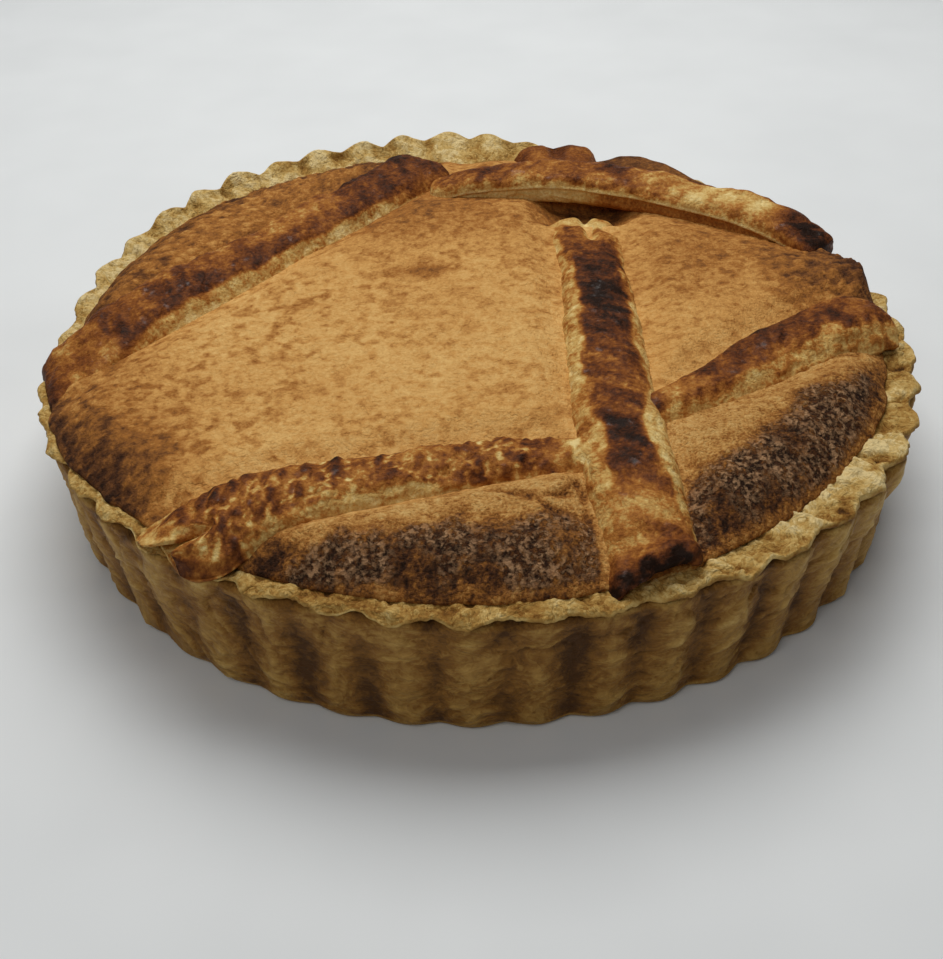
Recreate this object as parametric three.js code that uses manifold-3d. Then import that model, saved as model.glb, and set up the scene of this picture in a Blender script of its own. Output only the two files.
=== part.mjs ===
// Frangipane tart: a fluted pastry case, an almond filling that has puffed up between
// five strips of flaky pastry, and the strips themselves, laid over the filling and the rim.
// Millimetres and degrees, +Z up. The origin is the middle of the flat underside.

import * as THREE from 'three';
import Module from 'manifold-3d';

// Driving dimensions of the case
const rimRadius = 120;
const footRadius = 113.5;
const rimHeight = 38.5;
const caseWall = 6;
const floorThickness = 6;
const ledgeWidth = 8;
const lipThickness = 3;
const lipOverhang = 1.6;
const lipUndercut = 1.2;
const lipRounding = 2;
const lipEdge = 1;
const lipRaggedness = 0.7;
const crestWaviness = 0.5;
const ledgeDrop = 0.6;
const fluteCount = 48;
const fluteDepth = 2.6;
const fluteRoundness = 0.7;
const lipFluteShare = 0.7;
const footRounding = 2.4;

// The rim is uneven. Each place has its azimuth, how far it spreads to either side and its amount:
// the wall bulges at the right, shrinks back under the burnt swelling and dips under the left strip's end.
const rightBulge = { azimuth: -40, spread: 26, amount: 2.5 };
const burntRetreat = { azimuth: 18, spread: 13, amount: 3.2 };
const burntDip = { azimuth: 18, spread: 15, amount: 2 };
const leftDip = { azimuth: 177, spread: 14, amount: 3 };
const wideLedge = { azimuth: -40, spread: 26, amount: 4.5 };
const backLedge = { azimuth: 122, spread: 38, amount: 2 };

// The lip stands up at the back left, between two azimuths, each with the turn over which it rises
const backRise = 7.2;
const backRiseFrom = 68;
const backRiseFromTurn = 22;
const backRiseTo = 172;
const backRiseToTurn = 40;
const ledgeShareOfRise = 0.25;

// Driving dimensions of the filling, and the places where it swells or has run over the ledge
const fillingLevel = 42;
const crownRise = 2.2;
const pillowRise = 2.6;
const pillowWidth = 15;
const edgeRoll = 16;
const lap = 0.8;
const lapThickness = 1.3;
const leftLap = { azimuth: 214, spread: 22, amount: 3.8 };
const burntLap = { azimuth: 16, spread: 14, amount: 2.5 };
const burntSwell = { azimuth: 14, spread: 17, amount: 3.2 };

// Fit between neighbouring pieces, and how finely the round forms are divided
const gap = 0.35;
const stepsPerFlute = 5;
const fillingSteps = 96;
const stripSteps = 20;
const sectionSteps = 12;

// Each strip: points of its centre line as x, y and top height, then half widths along it
const stripThickness = 10;
const strips = {
  strip_back_left: {
    route: [[-111.5, -25.5, 41.5], [-96, -6, 48], [-57, 41, 49], [-14.5, 95, 48.5]],
    halfWidths: [12, 10, 9.5, 11],
  },
  strip_long: {
    route: [[37, -108, 44], [35.5, -90, 48], [33.8, -46, 48.5], [34.5, 20, 48], [33, 66, 45], [29, 111, 45]],
    halfWidths: [10.5, 10, 10, 9.5, 9.5, 13],
  },
  strip_back_right: {
    route: [[-6, 80, 49], [32, 75, 52], [66, 61.5, 51], [92, 45, 49], [104, 32, 45.5]],
    halfWidths: [8, 8, 8.5, 8.5, 7],
  },
  strip_right: {
    route: [[40, -53, 46.5], [60, -40, 47.5], [78, -26, 48.5], [94, -15, 48], [109, -7.5, 45.5]],
    halfWidths: [6, 7, 8.5, 9.5, 10],
  },
  strip_front: {
    route: [[-74.5, -95, 43], [-54, -86, 47.5], [-18, -76, 49], [6, -70.5, 48], [29, -68, 46]],
    halfWidths: [9.5, 9, 8, 7.5, 6.5],
  },
};

const wasm = await Module();
wasm.setup();

const radians = THREE.MathUtils.degToRad;
const smooth = (t) => THREE.MathUtils.smoothstep(t, 0, 1);

// The amount of one unevenness of the rim at an azimuth
function bump(azimuth, place) {
  const apart = ((azimuth - place.azimuth + 540) % 360) - 180;
  return place.amount * Math.exp(-((apart / place.spread) ** 2));
}

// Uneven baking round the rim, between about -1 and 1, repeating every turn
function ragged(azimuth, seed) {
  const a = radians(azimuth);
  const broad = 0.45 * Math.sin(7 * a + seed);
  const fine = 0.3 * Math.sin(17 * a + 2.3 * seed) + 0.25 * Math.sin(29 * a - seed);
  return broad + fine;
}

// Scalloped wave of the flutes, 1 on a crest and 0 in a groove. The tin's flutes are not quite even.
const fluteStart = 4.75;
const fluteDrift = 1.25;
const fluteDriftAzimuth = -60;
function flute(azimuth) {
  const phase = fluteStart + fluteDrift * Math.cos(radians(azimuth - fluteDriftAzimuth));
  const wave = 0.5 + 0.5 * Math.cos(fluteCount * radians(azimuth - phase));
  return wave ** fluteRoundness;
}

// Height of the lip's crest, and of the ledge's inner edge where the filling starts
function lipRise(azimuth) {
  const rising = smooth((azimuth - backRiseFrom) / backRiseFromTurn);
  const falling = smooth((backRiseTo - azimuth) / backRiseToTurn);
  return backRise * rising * falling;
}

function rimDip(azimuth) {
  return bump(azimuth, leftDip) + bump(azimuth, burntDip);
}

function crestHeight(azimuth) {
  const uneven = crestWaviness * (ragged(azimuth, 1.3) + flute(azimuth));
  return rimHeight + lipRise(azimuth) - rimDip(azimuth) + uneven;
}

function ledgeHeight(azimuth) {
  return rimHeight - ledgeDrop + ledgeShareOfRise * lipRise(azimuth) - rimDip(azimuth);
}

// A solid of rings about +Z, from a point on the axis below, out and over, to a point on the axis above.
// Each row gives a radius and a height for an azimuth.
function ringSolid(bottom, rows, top, steps) {
  const position = [0, 0, bottom];
  for (const row of rows) {
    for (let step = 0; step < steps; step += 1) {
      const azimuth = (360 * step) / steps;
      const [radius, height] = row(azimuth);
      position.push(radius * Math.cos(radians(azimuth)), radius * Math.sin(radians(azimuth)), height);
    }
  }
  position.push(0, 0, top);
  const last = position.length / 3 - 1;
  const at = (row, step) => 1 + row * steps + (step % steps);
  const index = [];
  for (let step = 0; step < steps; step += 1) {
    index.push(0, at(0, step + 1), at(0, step));
    for (let row = 0; row + 1 < rows.length; row += 1) {
      index.push(at(row, step), at(row, step + 1), at(row + 1, step + 1));
      index.push(at(row, step), at(row + 1, step + 1), at(row + 1, step));
    }
    index.push(last, at(rows.length - 1, step), at(rows.length - 1, step + 1));
  }
  return closedGeometry(position, index);
}

function closedGeometry(position, index) {
  const geometry = new THREE.BufferGeometry();
  geometry.setAttribute('position', new THREE.Float32BufferAttribute(position, 3));
  geometry.setIndex(index);
  return geometry;
}

// The case: flat foot, rounded foot edge, flaring fluted wall, overhanging lip, ledge, inner wall and floor
const innerFootRadius = footRadius - caseWall;

function outOfRound(azimuth) {
  return bump(azimuth, rightBulge) - bump(azimuth, burntRetreat);
}

function wallRadius(azimuth, height) {
  const flare = (rimRadius - lipOverhang - footRadius) * (height / rimHeight);
  return footRadius + flare + outOfRound(azimuth) - fluteDepth * (1 - flute(azimuth));
}

function lipRadius(azimuth) {
  const scallop = lipFluteShare * fluteDepth * (1 - flute(azimuth));
  return rimRadius + outOfRound(azimuth) + lipRaggedness * ragged(azimuth, 2.1) - scallop;
}

function innerRadius(azimuth) {
  const ledge = ledgeWidth + bump(azimuth, wideLedge) + bump(azimuth, backLedge);
  return rimRadius + outOfRound(azimuth) - ledge;
}

// The clearance makes the slightly larger form that a neighbouring piece is fitted to
function pastryCase(clearance) {
  const crest = (azimuth) => crestHeight(azimuth) + clearance;
  const underLip = (azimuth) => crest(azimuth) - lipThickness - lipUndercut;
  const rows = [
    (azimuth) => [wallRadius(azimuth, 0) - footRounding, 0],
    (azimuth) => [wallRadius(azimuth, 0) - 0.3 * footRounding, 0.3 * footRounding],
    (azimuth) => [wallRadius(azimuth, footRounding), 1.3 * footRounding],
    (azimuth) => [wallRadius(azimuth, underLip(azimuth)), underLip(azimuth)],
    (azimuth) => [lipRadius(azimuth), crest(azimuth) - lipThickness],
    (azimuth) => [lipRadius(azimuth), crest(azimuth) - lipEdge],
    (azimuth) => [lipRadius(azimuth) - lipRounding, crest(azimuth)],
    (azimuth) => [innerRadius(azimuth) - clearance, ledgeHeight(azimuth) + clearance],
    () => [innerFootRadius - clearance, floorThickness + clearance],
  ];
  return ringSolid(0, rows, floorThickness + clearance, fluteCount * stepsPerFlute);
}

// Centre lines of the strips, as curves through their route points, and the half width along each
function stripCurve(strip) {
  const points = strip.route.map((point) => new THREE.Vector3(...point));
  return new THREE.CatmullRomCurve3(points, false, 'centripetal');
}

function halfWidthAt(strip, t) {
  const place = t * (strip.halfWidths.length - 1);
  const before = Math.min(Math.floor(place), strip.halfWidths.length - 2);
  return THREE.MathUtils.lerp(strip.halfWidths[before], strip.halfWidths[before + 1], place - before);
}

// Points along every strip's centre line, used for the distance from a strip's edge
const stripLines = Object.values(strips).map((strip) => {
  const curve = stripCurve(strip);
  const samples = 40;
  return Array.from({ length: samples + 1 }, (_, i) => {
    const point = curve.getPoint(i / samples);
    return { x: point.x, y: point.y, halfWidth: halfWidthAt(strip, i / samples) };
  });
});

function clearOfStrips(x, y) {
  let clear = Infinity;
  for (const line of stripLines) {
    for (const point of line) {
      clear = Math.min(clear, Math.hypot(x - point.x, y - point.y) - point.halfWidth);
    }
  }
  return Math.max(clear, 0);
}

// The filling laps over the ledge's inner edge, most where it has run over at the left and the burnt end
function fillingRadius(azimuth) {
  return innerRadius(azimuth) + lap + bump(azimuth, leftLap) + bump(azimuth, burntLap);
}

function ledgeSurface(azimuth, radius) {
  const crestRadius = lipRadius(azimuth) - lipRounding;
  const outward = (radius - innerRadius(azimuth)) / (crestRadius - innerRadius(azimuth));
  return THREE.MathUtils.lerp(ledgeHeight(azimuth), crestHeight(azimuth), Math.min(outward, 1));
}

// The filling's top: thin on the ledge at its edge, rolled up to a low crown, and puffed into
// pillows between the strips
function fillingTop(share, azimuth) {
  const outer = fillingRadius(azimuth);
  const radius = share * outer;
  const x = radius * Math.cos(radians(azimuth));
  const y = radius * Math.sin(radians(azimuth));
  const crown = crownRise * (1 - share ** 2);
  const pillow = pillowRise * smooth(clearOfStrips(x, y) / pillowWidth);
  const swell = bump(azimuth, burntSwell) * smooth((share - 0.6) / 0.3);
  const inward = Math.min((outer - radius) / edgeRoll, 1);
  const roll = Math.sin((inward * Math.PI) / 2);
  const edge = ledgeSurface(azimuth, outer) + lapThickness;
  return edge + (fillingLevel + crown + pillow + swell - edge) * roll;
}

// Shares of the filling's radius at which its top is worked out, close together near the edge
const topShares = [1, 0.985, 0.965, 0.94, 0.905, 0.86, 0.805, 0.74, 0.67, 0.59, 0.5, 0.4, 0.295, 0.18];

function fillingBlock() {
  const rows = [(azimuth) => [fillingRadius(azimuth), 0]];
  for (const share of topShares) {
    rows.push((azimuth) => [share * fillingRadius(azimuth), fillingTop(share, azimuth)]);
  }
  return ringSolid(0, rows, fillingTop(0, 0), fillingSteps);
}

// A strip: a rounded slab section swept along the centre line, puffed and uneven, with rounded ends.
// The end rounding is a share of the length, the top's swing is in millimetres, and the others are
// shares of the section's size.
const endRounding = 0.12;
const endTaper = 0.28;
const broadSwing = 0.05;
const fineSwing = 0.04;
const topSwing = 0.4;
const cornerPower = 0.55;
function stripSolid(strip, seed) {
  const curve = stripCurve(strip);
  const position = [];
  for (let step = 0; step <= stripSteps; step += 1) {
    const t = step / stripSteps;
    const point = curve.getPoint(t);
    const along = curve.getTangent(t).setZ(0).normalize();
    const across = new THREE.Vector3(-along.y, along.x, 0);
    const fromEnd = Math.min(t, 1 - t) / endRounding;
    const taper = 1 - endTaper * (1 - Math.sin((Math.min(fromEnd, 1) * Math.PI) / 2));
    const puff = 1 + broadSwing * Math.sin(19 * t + seed) + fineSwing * Math.sin(43 * t + 2 * seed);
    const halfWidth = halfWidthAt(strip, t) * taper * puff;
    const halfHeight = (stripThickness / 2) * taper;
    const middle = point.z - stripThickness / 2 + topSwing * Math.sin(31 * t + 3 * seed);
    for (let side = 0; side < sectionSteps; side += 1) {
      const turn = (2 * Math.PI * (side + 0.5)) / sectionSteps;
      const out = halfWidth * Math.sign(Math.cos(turn)) * Math.abs(Math.cos(turn)) ** cornerPower;
      const up = halfHeight * Math.sign(Math.sin(turn)) * Math.abs(Math.sin(turn)) ** cornerPower;
      position.push(point.x + across.x * out, point.y + across.y * out, middle + up);
    }
  }
  const at = (step, side) => step * sectionSteps + (side % sectionSteps);
  const index = [];
  for (let step = 0; step < stripSteps; step += 1) {
    for (let side = 0; side < sectionSteps; side += 1) {
      index.push(at(step, side), at(step, side + 1), at(step + 1, side + 1));
      index.push(at(step, side), at(step + 1, side + 1), at(step + 1, side));
    }
  }
  for (let side = 1; side + 1 < sectionSteps; side += 1) {
    index.push(at(0, 0), at(0, side + 1), at(0, side));
    index.push(at(stripSteps, 0), at(stripSteps, side), at(stripSteps, side + 1));
  }
  return closedGeometry(position, index);
}

// What the strips lie on at the rim: the lip and ledge with the fitting gap added, reaching straight down
// outside and a little way in over the filling's edge
function rimBed() {
  const rows = [
    (azimuth) => [lipRadius(azimuth) + gap, 0],
    (azimuth) => [lipRadius(azimuth) + gap, crestHeight(azimuth) - lipEdge + gap],
    (azimuth) => [lipRadius(azimuth) - lipRounding, crestHeight(azimuth) + gap],
    (azimuth) => [innerRadius(azimuth), ledgeHeight(azimuth) + gap],
    (azimuth) => [innerRadius(azimuth) - ledgeWidth / 2, ledgeHeight(azimuth) + gap],
  ];
  return ringSolid(0, rows, floorThickness, fluteCount * stepsPerFlute);
}

// Booleans: a geometry as a solid, the solid back as a geometry
function solidOf(geometry) {
  const vertProperties = new Float32Array(geometry.getAttribute('position').array);
  const triVerts = new Uint32Array(geometry.getIndex().array);
  return new wasm.Manifold(new wasm.Mesh({ numProp: 3, vertProperties, triVerts }));
}

function movedSolid(geometry, x, y, z) {
  return solidOf(geometry.clone().translate(x, y, z));
}

function geometryOf(solid) {
  const mesh = solid.getMesh();
  return closedGeometry(Array.from(mesh.vertProperties), Array.from(mesh.triVerts));
}

function largestBody(solid) {
  return solid.decompose().reduce((best, body) => (body.volume() > best.volume() ? body : best));
}

const caseGeometry = pastryCase(0);
const blockGeometry = fillingBlock();
const fillingGeometry = geometryOf(largestBody(solidOf(blockGeometry).subtract(solidOf(pastryCase(gap)))));
const raw = {};
Object.entries(strips).forEach(([name, strip], i) => {
  raw[name] = stripSolid(strip, 1 + 1.7 * i);
});

// Every strip is seated on the filling and the rim. The back right strip also lies over the long one and
// against the left one, and the two short strips end at the long strip's sides.
const bed = [solidOf(rimBed()), movedSolid(blockGeometry, 0, 0, gap)];
const neighbours = {
  strip_back_left: [],
  strip_long: [],
  strip_back_right: [['strip_long', 0, 0, gap], ['strip_back_left', gap, -gap, 0]],
  strip_right: [['strip_long', gap, 0, 0]],
  strip_front: [['strip_long', -gap, 0, 0]],
};

function seatedStrip(name) {
  let solid = solidOf(raw[name]);
  for (const under of bed) {
    solid = solid.subtract(under);
  }
  for (const [other, x, y, z] of neighbours[name]) {
    solid = solid.subtract(movedSolid(raw[other], x, y, z));
  }
  return geometryOf(largestBody(solid));
}

// Baked colours
const pastry = { color: 0xc9a468, roughness: 0.75, metalness: 0 };
const almond = { color: 0xb98548, roughness: 0.85, metalness: 0 };
const glazed = { color: 0x7a3f1c, roughness: 0.4, metalness: 0 };

function piece(name, geometry, look) {
  const mesh = new THREE.Mesh(geometry, new THREE.MeshStandardMaterial(look));
  mesh.name = name;
  return mesh;
}

const tart = new THREE.Group();
tart.add(piece('pastry_case', caseGeometry, pastry));
tart.add(piece('frangipane_filling', fillingGeometry, almond));
for (const name of Object.keys(strips)) {
  tart.add(piece(name, seatedStrip(name), glazed));
}

export default tart;
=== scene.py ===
import itertools
import math

import bpy
import numpy as np
from mathutils import Euler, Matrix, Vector


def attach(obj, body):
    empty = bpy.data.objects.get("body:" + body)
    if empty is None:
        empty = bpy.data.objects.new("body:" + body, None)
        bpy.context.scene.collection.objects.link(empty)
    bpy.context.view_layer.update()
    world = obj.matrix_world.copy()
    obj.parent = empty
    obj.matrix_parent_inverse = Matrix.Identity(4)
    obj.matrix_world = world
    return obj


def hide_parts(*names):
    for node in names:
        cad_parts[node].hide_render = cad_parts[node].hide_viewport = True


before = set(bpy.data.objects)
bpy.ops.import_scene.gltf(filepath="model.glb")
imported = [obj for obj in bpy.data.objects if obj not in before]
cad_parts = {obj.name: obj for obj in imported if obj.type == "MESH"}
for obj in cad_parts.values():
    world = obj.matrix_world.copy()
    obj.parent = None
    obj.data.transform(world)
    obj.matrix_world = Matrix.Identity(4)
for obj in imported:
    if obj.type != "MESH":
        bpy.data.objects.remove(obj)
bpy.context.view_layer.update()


# Pastry case
# Sweet shortcrust pressed by hand into a deep fluted tin, trimmed roughly and baked to a pale gold.
# The wall carries the tin's flutes; the trimmed top spreads into a ledge with a torn, hanging lip.
MM = 0.001
rim_radius = 120
foot_radius = 113.5
rim_height = 38.5
foot_rounding = 2.4
ledge_width = 8
lip_overhang = 1.6
flute_count = 48
flute_depth = 2.6
ledge_drop = 0.6
back_rise = 7.2
inside_radius = 100
inside_corner_height = 8
inside_floor_height = 6
case_columns = 1152
wall_rings = 36
ledge_rings = 30


def smooth(value):
    """An S-curve from 0 to 1."""
    value = np.clip(value, 0, 1)
    return value * value * (3 - 2 * value)


def bump(azimuth, middle, spread, amount):
    """A soft swelling of the rim about one direction, in degrees."""
    turn = (azimuth - middle + 180) % 360 - 180
    return amount * np.exp(-((turn / spread) ** 2))


def chance(cell, seed):
    """A fixed random value from 0 to 1 for each cell of a grid."""
    mixed = cell[..., 0] * 73856093 ^ cell[..., 1] * 19349663 ^ cell[..., 2] * 83492791 ^ seed * 50331653
    mixed = (mixed ^ mixed >> 13) * 1274126177 & 0x7FFFFFFF
    mixed = (mixed ^ mixed >> 15) * 668265263 & 0x7FFFFFFF
    return mixed / 0x7FFFFFFF


noise_turn = np.array(Euler((0.6, 0.5, 0.8)).to_matrix())


def clouds(places, size, seed):
    """Soft lumps from 0 to 1 over places in millimetres, each about the given size."""
    grid = places @ noise_turn / size + seed * 7.31
    cell = np.floor(grid).astype(np.int64)
    part = smooth(grid - cell)
    total = 0
    for corner in itertools.product((0, 1), repeat=3):
        weight = np.prod(np.where(corner, part, 1 - part), axis=-1)
        total = total + weight * chance(cell + np.array(corner), seed)
    return total


def stirred(places, size, amount, seed):
    """Places pushed about unevenly, for marks that swirl like kneaded dough."""
    push = np.stack([clouds(places, size, seed + turn) for turn in range(3)], axis=-1)
    return places + amount * (push - 0.5)


def lobes(places, size, seed):
    """Lumps packed side by side, each about the given size: how domed each place is, how far it lies from
    the gap between two lumps, and its lump's own tone."""
    grid = places @ noise_turn / size + seed * 3.7
    home = np.floor(grid).astype(np.int64)
    nearest = np.full(grid.shape[:-1], 9.0)
    second = nearest
    tone = 0 * nearest
    for step in itertools.product((-1, 0, 1), repeat=3):
        cell = home + np.array(step)
        middle = cell + np.stack([chance(cell, seed + turn) for turn in range(3)], axis=-1)
        gap = np.linalg.norm(grid - middle, axis=-1)
        second = np.minimum(np.maximum(gap, nearest), second)
        tone = np.where(gap < nearest, chance(cell, seed + 3), tone)
        nearest = np.minimum(gap, nearest)
    return 1 - nearest ** 2, second - nearest, tone


def ragged(azimuth, seed):
    """A slow uneven wander round the rim, from -1 to 1."""
    turn = np.radians(azimuth)
    wander = 0.45 * np.sin(7 * turn + seed) + 0.3 * np.sin(17 * turn + 2.3 * seed)
    return wander + 0.25 * np.sin(29 * turn - seed)


def flute(azimuth):
    """1 on the crown of a flute and 0 in the valley between two."""
    start = 4.75 + 1.25 * np.cos(np.radians(azimuth + 60))
    return (0.5 + 0.5 * np.cos(np.radians(flute_count * (azimuth - start)))) ** 0.7


def out_of_round(azimuth):
    """How far the rim strays from a circle: it bulges at the right front and shrinks by the burnt end."""
    return bump(azimuth, -40, 26, 2.5) - bump(azimuth, 18, 13, 3.2)


def lip_rise(azimuth):
    """The pastry stands higher along the back."""
    return back_rise * smooth((azimuth - 68) / 22) * smooth((172 - azimuth) / 40)


def rim_dip(azimuth):
    """The pastry sinks under the folded strip end at the left and the burnt end at the right."""
    return bump(azimuth, 177, 14, 3) + bump(azimuth, 18, 15, 2)


def crest_height(azimuth):
    """Top of the lip."""
    wave = 0.5 * (ragged(azimuth, 1.3) + flute(azimuth))
    return rim_height + lip_rise(azimuth) - rim_dip(azimuth) + wave


def ledge_height(azimuth):
    """Inner edge of the ledge, where the filling laps over it."""
    return rim_height - ledge_drop + 0.25 * lip_rise(azimuth) - rim_dip(azimuth)


def wall_radius(azimuth, height):
    """Fluted outside of the wall, which flares upwards."""
    flare = (rim_radius - lip_overhang - foot_radius) * height / rim_height
    return foot_radius + flare + out_of_round(azimuth) - flute_depth * (1 - flute(azimuth))


def inner_radius(azimuth):
    """Inside of the ledge."""
    widening = bump(azimuth, -40, 26, 4.5) + bump(azimuth, -8, 12, 2.5)
    widening = widening + bump(azimuth, 122, 38, 2) + bump(azimuth, 90, 11, 8)
    return rim_radius + out_of_round(azimuth) - ledge_width - widening


def skin(name, places, marks):
    """A closed skin: a grid laid on a table of places in millimetres, with its meeting edges merged.
    Each mark is a table of one value per place, kept on the skin for its material."""
    rows = places.shape[0] - 1
    columns = places.shape[1] - 1
    bpy.ops.object.select_all(action="DESELECT")
    bpy.ops.mesh.primitive_grid_add(x_subdivisions=columns, y_subdivisions=rows, size=2)
    piece = bpy.context.object
    piece.name = name
    piece.data.name = name
    corners = np.empty(len(piece.data.vertices) * 3)
    piece.data.vertices.foreach_get("co", corners)
    column = np.rint((corners[0::3] + 1) / 2 * columns).astype(int)
    row = np.rint((corners[1::3] + 1) / 2 * rows).astype(int)
    piece.data.vertices.foreach_set("co", (places[row, column] * MM).ravel())
    for mark, values in marks.items():
        attribute = piece.data.attributes.new(mark, "FLOAT", "POINT")
        attribute.data.foreach_set("value", np.ascontiguousarray(values[row, column], dtype=np.float32))
    bpy.ops.object.mode_set(mode="EDIT")
    bpy.ops.mesh.select_all(action="SELECT")
    bpy.ops.mesh.remove_doubles(threshold=0.01 * MM)
    bpy.ops.mesh.normals_make_consistent(inside=False)
    bpy.ops.object.mode_set(mode="OBJECT")
    bpy.ops.object.shade_smooth()
    return piece


def paint(red, green, blue):
    """A colour given as screen values from 0 to 255, as the shader wants it."""
    screen = np.array((red, green, blue)) / 255
    return (*np.where(screen <= 0.04045, screen / 12.92, ((screen + 0.055) / 1.055) ** 2.4).tolist(), 1)


class Wire:
    """An output of a shader node. Arithmetic on it adds Math nodes."""

    def __init__(self, tree, socket):
        self.tree = tree
        self.socket = socket

    def math(self, operation, first, second):
        node = self.tree.nodes.new("ShaderNodeMath")
        node.operation = operation
        for place, value in zip(node.inputs, (first, second)):
            if isinstance(value, Wire):
                self.tree.links.new(value.socket, place)
            else:
                place.default_value = value
        return Wire(self.tree, node.outputs[0])

    def __add__(self, other):
        return self.math("ADD", self, other)

    def __radd__(self, other):
        return self.math("ADD", other, self)

    def __sub__(self, other):
        return self.math("SUBTRACT", self, other)

    def __rsub__(self, other):
        return self.math("SUBTRACT", other, self)

    def __mul__(self, other):
        return self.math("MULTIPLY", self, other)

    def __rmul__(self, other):
        return self.math("MULTIPLY", other, self)

    def __mod__(self, other):
        return self.math("MODULO", self, other)


class Finish:
    """A material in the making."""

    def __init__(self, name):
        self.material = bpy.data.materials.new(name)
        self.material.use_nodes = True
        self.tree = self.material.node_tree
        self.surface = self.tree.nodes["Principled BSDF"]

    def join(self, node, sockets):
        for name, value in sockets.items():
            if isinstance(value, Wire):
                self.tree.links.new(value.socket, node.inputs[name])
            else:
                node.inputs[name].default_value = value

    def node(self, kind, settings, sockets, output=0):
        node = self.tree.nodes.new(kind)
        for name, value in settings.items():
            if name == "stops":
                ramp = node.color_ramp
                while len(ramp.elements) < len(value):
                    ramp.elements.new(1)
                for element, (position, colour) in zip(ramp.elements, value):
                    element.position = position
                    element.color = colour
            else:
                setattr(node, name, value)
        self.join(node, sockets)
        return Wire(self.tree, node.outputs[output])

    def mark(self, name):
        return self.node("ShaderNodeAttribute", {"attribute_name": name}, {}, "Fac")

    def speckle(self, size, detail=2, stretch=(1, 1, 1), swirl=0):
        where = self.node("ShaderNodeTexCoord", {}, {}, "Object")
        where = self.node("ShaderNodeMapping", {}, {"Vector": where, "Scale": stretch})
        return self.node("ShaderNodeTexNoise", {}, {
            "Vector": where,
            "Scale": 1 / (size * MM),
            "Detail": detail,
            "Roughness": 0.6,
            "Distortion": swirl,
        })

    def spread(self, value, low, high, start=0, end=1):
        """A value's range from low to high drawn out to run from start to end."""
        sockets = {"Value": value, "From Min": low, "From Max": high, "To Min": start, "To Max": end}
        return self.node("ShaderNodeMapRange", {}, sockets)

    def blend(self, factor, first, second):
        return self.node("ShaderNodeMix", {"data_type": "RGBA"}, {0: factor, 6: first, 7: second}, 2)

    def ramp(self, factor, stops):
        return self.node("ShaderNodeValToRGB", {"stops": stops}, {"Fac": factor})

    def relief(self, height, depth, strength=1):
        sockets = {"Height": height, "Distance": depth * MM, "Strength": strength}
        return self.node("ShaderNodeBump", {}, sockets)

    def finish(self, sockets):
        self.join(self.surface, sockets)
        return self.material


azimuth = np.linspace(0, 360, case_columns + 1)
compass = np.stack([np.cos(np.radians(azimuth)), np.sin(np.radians(azimuth)), 0 * azimuth], axis=-1)
rim_line = compass * rim_radius
crown = flute(azimuth)
torn_side = bump(azimuth, -30, 45, 1)
front_lip = bump(azimuth, -110, 35, 1)
knobbly = np.maximum(lip_rise(azimuth) / back_rise, bump(azimuth, 10, 55, 0.35))
tear = smooth((clouds(rim_line, 7, 11) - 0.25) / 0.5) - 0.5
fray = clouds(rim_line, 2.6, 12) + 0.8 * clouds(rim_line, 1.2, 13) - 0.9
valley = (1 - crown) ** 0.8 * (0.6 + 0.8 * clouds(rim_line, 13, 14))
lip_radius = rim_radius + out_of_round(azimuth) + 0.7 * ragged(azimuth, 2.1) - bump(azimuth, -15, 14, 1.8)
indent = 2 + bump(azimuth, -45, 25, 1.4) - bump(azimuth, 8, 25, 1)
tatter = 0.7 + 0.5 * torn_side + 0.5 * front_lip
flake_edge = lip_radius - 0.8 - indent * valley + tatter * tear + 0.8 * fray
loose = smooth((clouds(rim_line, 10, 18) - 0.32) / 0.25)
flake_edge = flake_edge * loose + (1 - loose) * (wall_radius(azimuth, rim_height - 4) + 0.9 + 0.8 * fray)
lip_crest = crest_height(azimuth) + 0.6 * (clouds(rim_line, 4, 15) - 0.5) + 2 * knobbly * (crown - 0.65)
ledge_outer = flake_edge - 0.5
ledge_inner = inner_radius(azimuth) - 4
inward_fall = (lip_crest - ledge_height(azimuth)) / (ledge_outer - ledge_inner)
droop = (0.8 + 2.2 * front_lip) * clouds(rim_line, 9, 16) * crown * (1 - 0.7 * torn_side)
curl = 1.6 * (clouds(rim_line, 6, 32) - 0.5)
flake_thick = 0.4 + 0.8 * clouds(rim_line, 8, 49) + (0.4 + 0.9 * clouds(rim_line, 5, 19)) * torn_side
flake_bottom = lip_crest - flake_thick - droop - 0.5 * fray + curl
shallow = bump(azimuth, -115, 50, 1.4) * (1 - crown)
tuck = np.minimum(wall_radius(azimuth, rim_height - 3) + shallow - 1, flake_edge - 1.2)
tuck_top = lip_crest - inward_fall * (flake_edge - tuck) - 0.8 - 0.6 * flake_thick
tuck_top = tuck_top - 1.6 * knobbly * (1 - crown)
shoulder_height = tuck_top - 0.2 - 1.2 * smooth((clouds(rim_line, 9, 17) - 0.45) / 0.3)
wall_top = shoulder_height - 1.8
case_rings = []
case_toast_and_shade = []
case_crumb = []


def case_ring(radius, height, toast, crumbly=0.3):
    """One ring of the case, from the middle of its underside over the lip to the middle of its floor."""
    radius = np.broadcast_to(radius, azimuth.shape)
    height = np.broadcast_to(height, azimuth.shape)
    ring = compass * radius[:, None]
    ring[:, 2] = height
    case_rings.append(ring)
    case_toast_and_shade.append(np.broadcast_to(toast, azimuth.shape))
    case_crumb.append(np.full(azimuth.shape, crumbly))


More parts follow.
